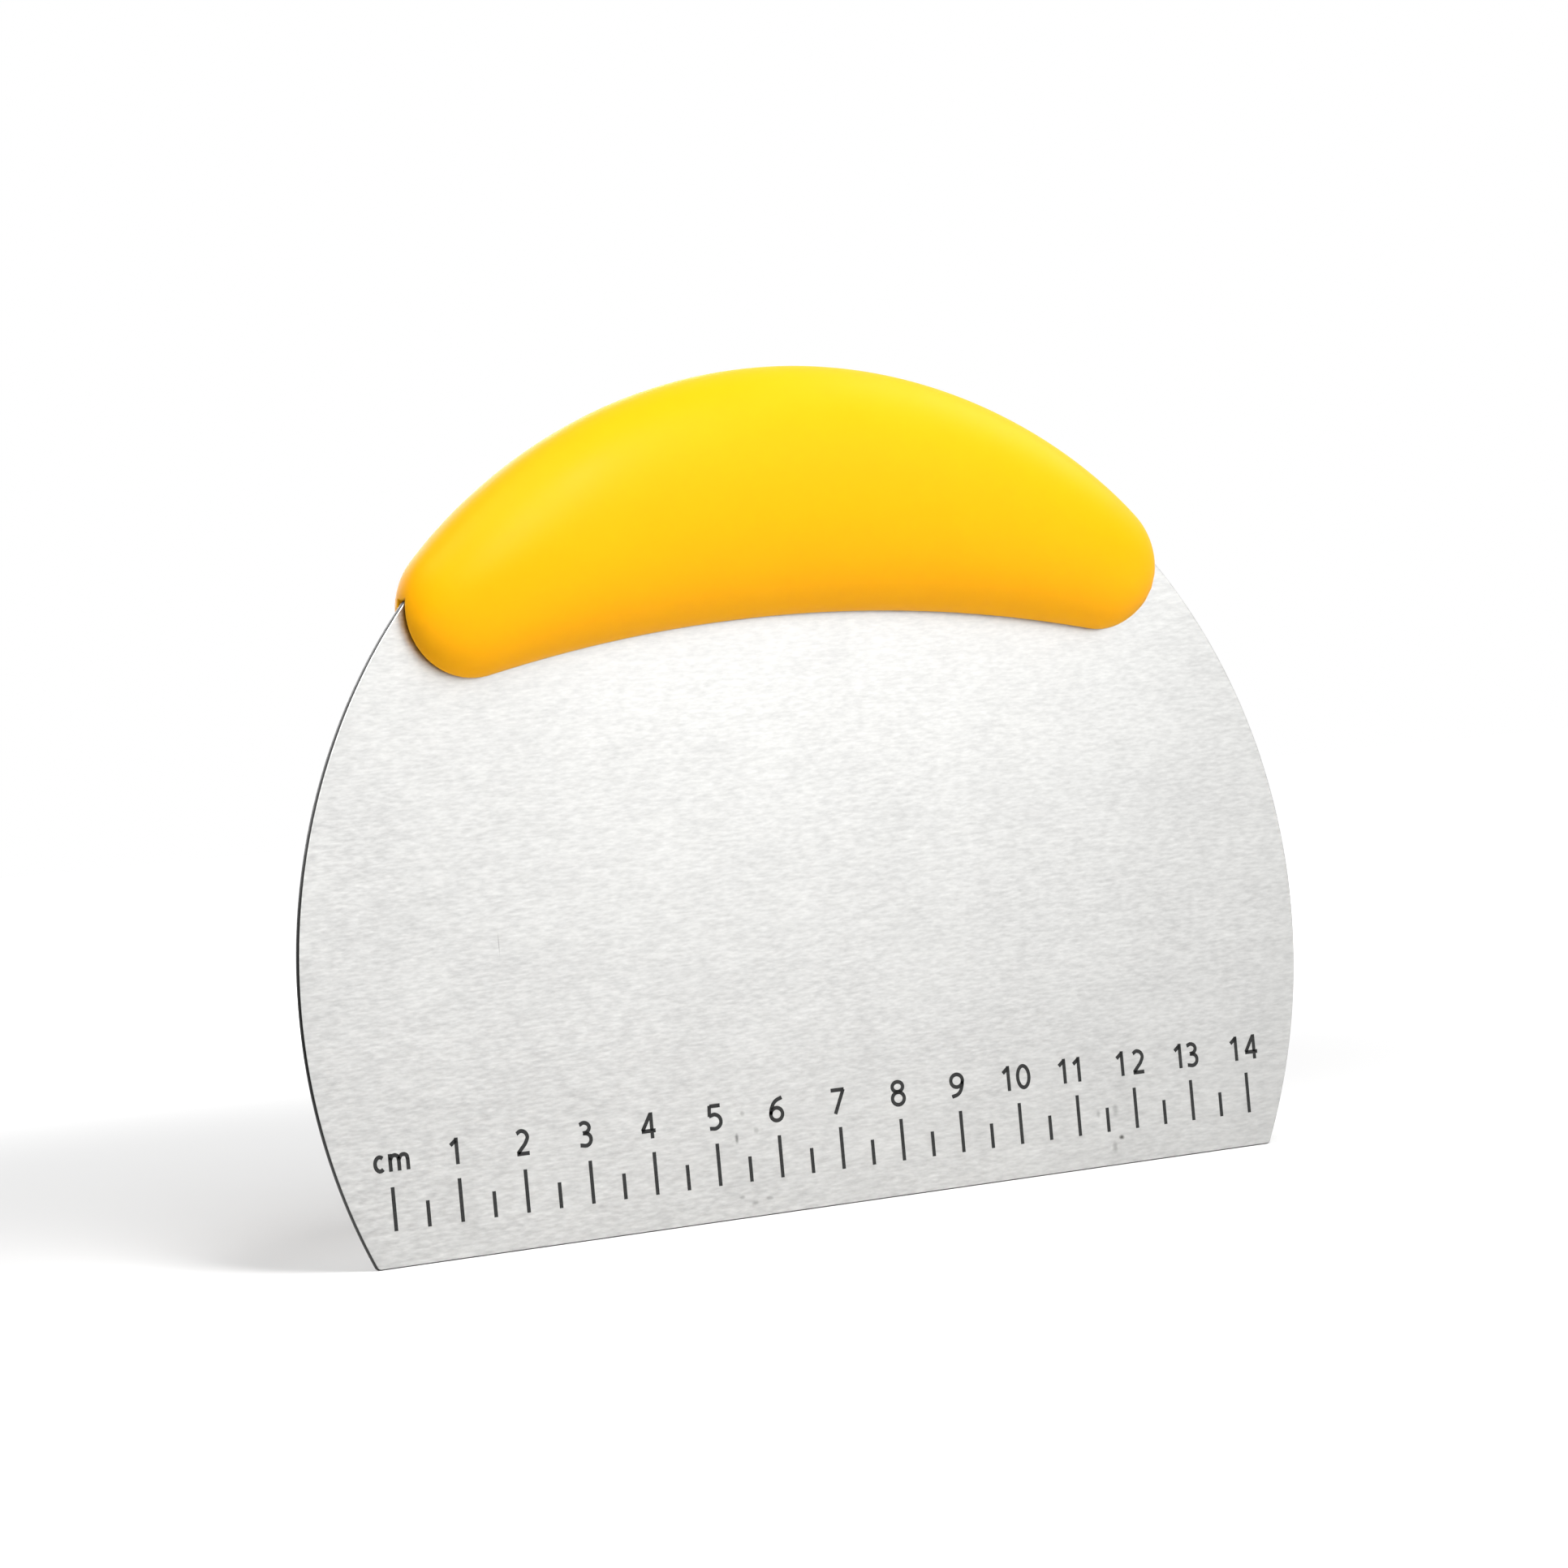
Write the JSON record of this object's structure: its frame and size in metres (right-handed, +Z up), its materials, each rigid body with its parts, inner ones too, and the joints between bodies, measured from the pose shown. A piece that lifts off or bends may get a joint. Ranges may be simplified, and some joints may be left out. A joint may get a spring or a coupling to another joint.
{
  "type": "dough scraper",
  "caption": "Hand dough scraper: half-moon brushed stainless steel blade with a centimetre scale, clamped in a soft-skinned, banana-shaped handle along its curved rim.",
  "frame": {"origin": "middle of the straight scraping edge, halfway through the sheet; the lowest point of the scraper as it stands on that edge", "axes": "+X along the scraping edge, to the right as the scale is read; +Y out of the back of the blade, away from the scale; +Z up the blade to the handle"},
  "size_m": [0.162, 0.0226, 0.1184],
  "materials": {
    "brushed_stainless_steel": "brushed lengthwise, satin",
    "natural_polypropylene": "moulded, matte, undyed",
    "yellow_soft_plastic": "moulded soft-touch skin, satin"
  },
  "bodies": {
    "root": {"blade": "brushed_stainless_steel", "core_front": "natural_polypropylene", "core_rear": "natural_polypropylene", "grip": "yellow_soft_plastic"}
  },
  "joints": []
}
